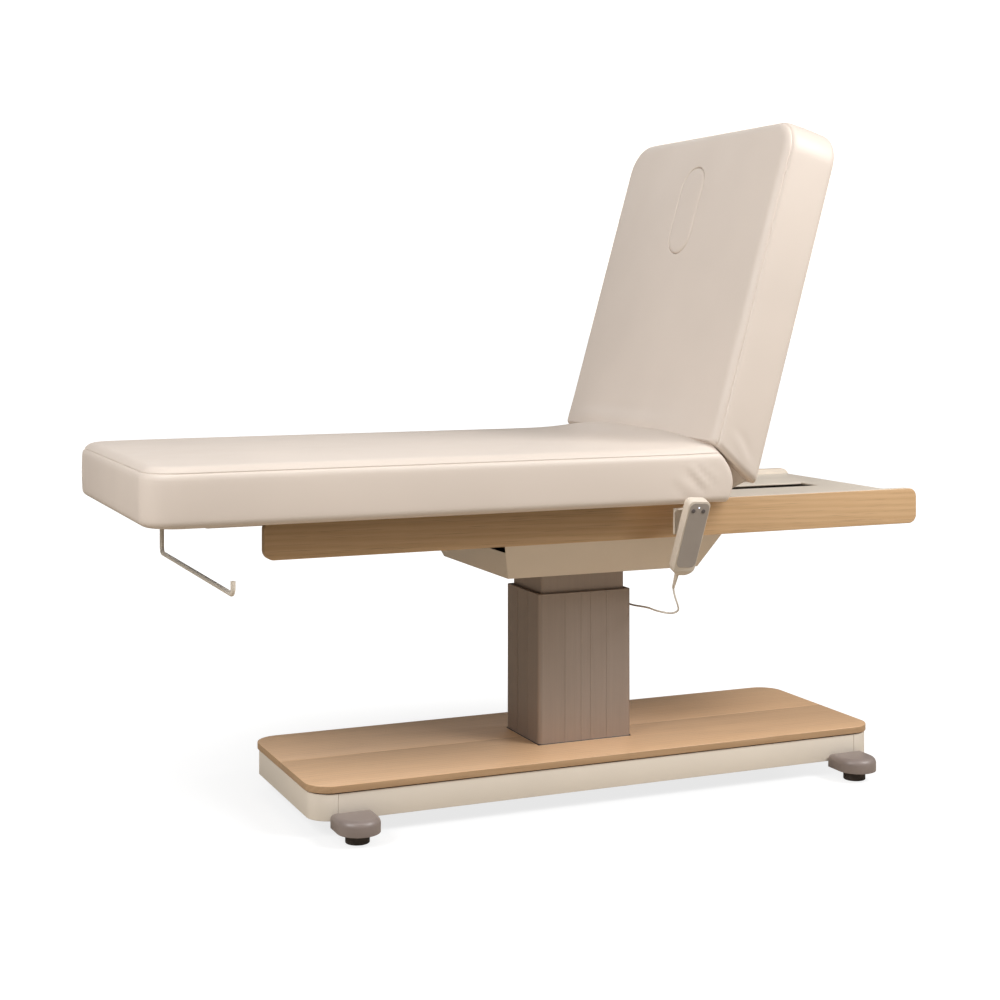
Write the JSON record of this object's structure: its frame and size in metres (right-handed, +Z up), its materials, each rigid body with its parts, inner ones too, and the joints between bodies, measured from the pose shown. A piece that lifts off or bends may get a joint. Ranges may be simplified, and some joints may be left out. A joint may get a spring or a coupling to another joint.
{
  "type": "facial treatment bed",
  "caption": "Electric treatment bed: padded leg section and hinged backrest with a breathing hole on a wood-railed frame, on a telescopic lifting column with a long levelled base.",
  "frame": {"origin": "on the floor, under the middle of the whole bed's bounding box", "axes": "+X along the bed towards the head end, +Y across it away from the handset, +Z up"},
  "size_m": [1.8126, 0.7884, 1.5003],
  "materials": {
    "upholstery": "satin synthetic leather with a fine grain",
    "plywood": "raw plywood",
    "oak": "satin oak veneer",
    "cream_paint": "satin powder coat",
    "cream_laminate": "matt laminate",
    "frame_paint": "matt powder coat",
    "anodised": "brushed, anodised",
    "bright_steel": "zinc plated",
    "black_plastic": "moulded",
    "actuator_grey": "moulded",
    "foot_taupe": "satin moulded",
    "foot_rubber": "moulded",
    "handset_shell": "satin moulded",
    "handset_grey": "satin film",
    "indicator": "clear lens",
    "circuit_green": "lacquered",
    "cord_cream": "satin jacket"
  },
  "bodies": {
    "base": {"base_frame": "frame_paint", "foot_bars": "frame_paint", "foot_caps": "foot_taupe", "skirt_side_near": "cream_paint", "skirt_side_far": "cream_paint", "skirt_end_foot": "cream_paint", "skirt_end_head": "cream_paint", "base_board_near": "oak", "base_board_far": "oak", "column_outer": "anodised", "outer_glide_ring": "black_plastic", "lift_screw": "bright_steel"},
    "middle_stage": {"column_middle": "anodised", "middle_glide_ring": "black_plastic", "lift_screw_sleeve": "bright_steel"},
    "bed_frame": {"column_inner": "anodised", "lift_saddle": "frame_paint", "lift_motor": "black_plastic", "lift_push_tube": "bright_steel", "housing_floor": "cream_paint", "housing_side_near": "cream_paint", "housing_side_far": "cream_paint", "housing_end_foot": "cream_paint", "housing_end_head": "cream_paint", "rail_near": "oak", "rail_far": "oak", "side_tubes": "frame_paint", "cross_tubes": "frame_paint", "head_panel": "cream_laminate", "leg_board": "plywood", "leg_cushion": "upholstery", "hinge_brackets": "frame_paint", "hinge_pins": "bright_steel", "actuator_body": "actuator_grey", "roll_holder_rod": "cream_paint", "roll_holder_socket": "cream_paint", "roll_holder_screws": "bright_steel", "handset_bracket": "cream_paint", "control_box": "black_plastic", "cord_gland": "black_plastic", "handset_cord": "cord_cream"},
    "backrest": {"backrest_cushion": "upholstery", "backrest_board": "plywood", "backrest_lugs": "frame_paint", "backrest_lever": "frame_paint", "lever_pin": "bright_steel"},
    "breath_plug": {"breath_plug": "upholstery"},
    "actuator_rod": {"actuator_rod": "bright_steel"},
    "handset": {"handset_back_shell": "handset_shell", "handset_front_shell": "handset_shell", "handset_face": "handset_grey", "handset_led": "indicator", "handset_circuit_board": "circuit_green", "handset_strain_relief": "handset_shell"},
    "button_up": {"button_up": "handset_grey"},
    "button_down": {"button_down": "handset_grey"},
    "pad_near_foot": {"foot_pad_near_foot": "foot_rubber"},
    "pad_near_head": {"foot_pad_near_head": "foot_rubber"},
    "pad_far_foot": {"foot_pad_far_foot": "foot_rubber"},
    "pad_far_head": {"foot_pad_far_head": "foot_rubber"}
  },
  "joints": [
    {"name": "lift", "type": "slide", "parent": "base", "child": "bed_frame", "axis": [0, 0, 1], "range_m": [-0.09, 0.29]},
    {"name": "middle_stage_slide", "type": "slide", "parent": "base", "child": "middle_stage", "axis": [0, 0, 1], "range_m": [-0.045, 0.145]},
    {"name": "backrest_recline", "type": "hinge", "parent": "bed_frame", "child": "backrest", "pos_m": [0.3637, 0.019, 0.723], "axis": [0, 1, 0], "range_deg": [0, 74]},
    {"name": "actuator_slide", "type": "slide", "parent": "bed_frame", "child": "actuator_rod", "axis": [-1, 0, 0], "range_m": [0, 0.1685]},
    {"name": "plug_pull", "type": "slide", "parent": "backrest", "child": "breath_plug", "axis": [-0.9613, 0, 0.2756], "range_m": [0, 0.13]},
    {"name": "handset_lift", "type": "slide", "parent": "bed_frame", "child": "handset", "axis": [0.065, -0.3399, 0.9382], "range_m": [0, 0.05]},
    {"name": "button_up_press", "type": "slide", "parent": "handset", "child": "button_up", "axis": [0.0114, 0.9404, 0.3399], "range_m": [0, 0.001], "stiffness_N_per_m": 600, "springref_m": -0.0005},
    {"name": "button_down_press", "type": "slide", "parent": "handset", "child": "button_down", "axis": [0.0114, 0.9404, 0.3399], "range_m": [0, 0.001], "stiffness_N_per_m": 600, "springref_m": -0.0005},
    {"name": "pad_near_foot_level", "type": "slide", "parent": "base", "child": "pad_near_foot", "axis": [0, 0, 1], "range_m": [-0.012, 0]},
    {"name": "pad_near_head_level", "type": "slide", "parent": "base", "child": "pad_near_head", "axis": [0, 0, 1], "range_m": [-0.012, 0]},
    {"name": "pad_far_foot_level", "type": "slide", "parent": "base", "child": "pad_far_foot", "axis": [0, 0, 1], "range_m": [-0.012, 0]},
    {"name": "pad_far_head_level", "type": "slide", "parent": "base", "child": "pad_far_head", "axis": [0, 0, 1], "range_m": [-0.012, 0]}
  ],
  "couplings": [
    {"joint": "middle_stage_slide", "follows": "lift", "ratio": 0.5},
    {"joint": "actuator_slide", "follows": "backrest_recline", "m_per_rad": 0.1303}
  ]
}
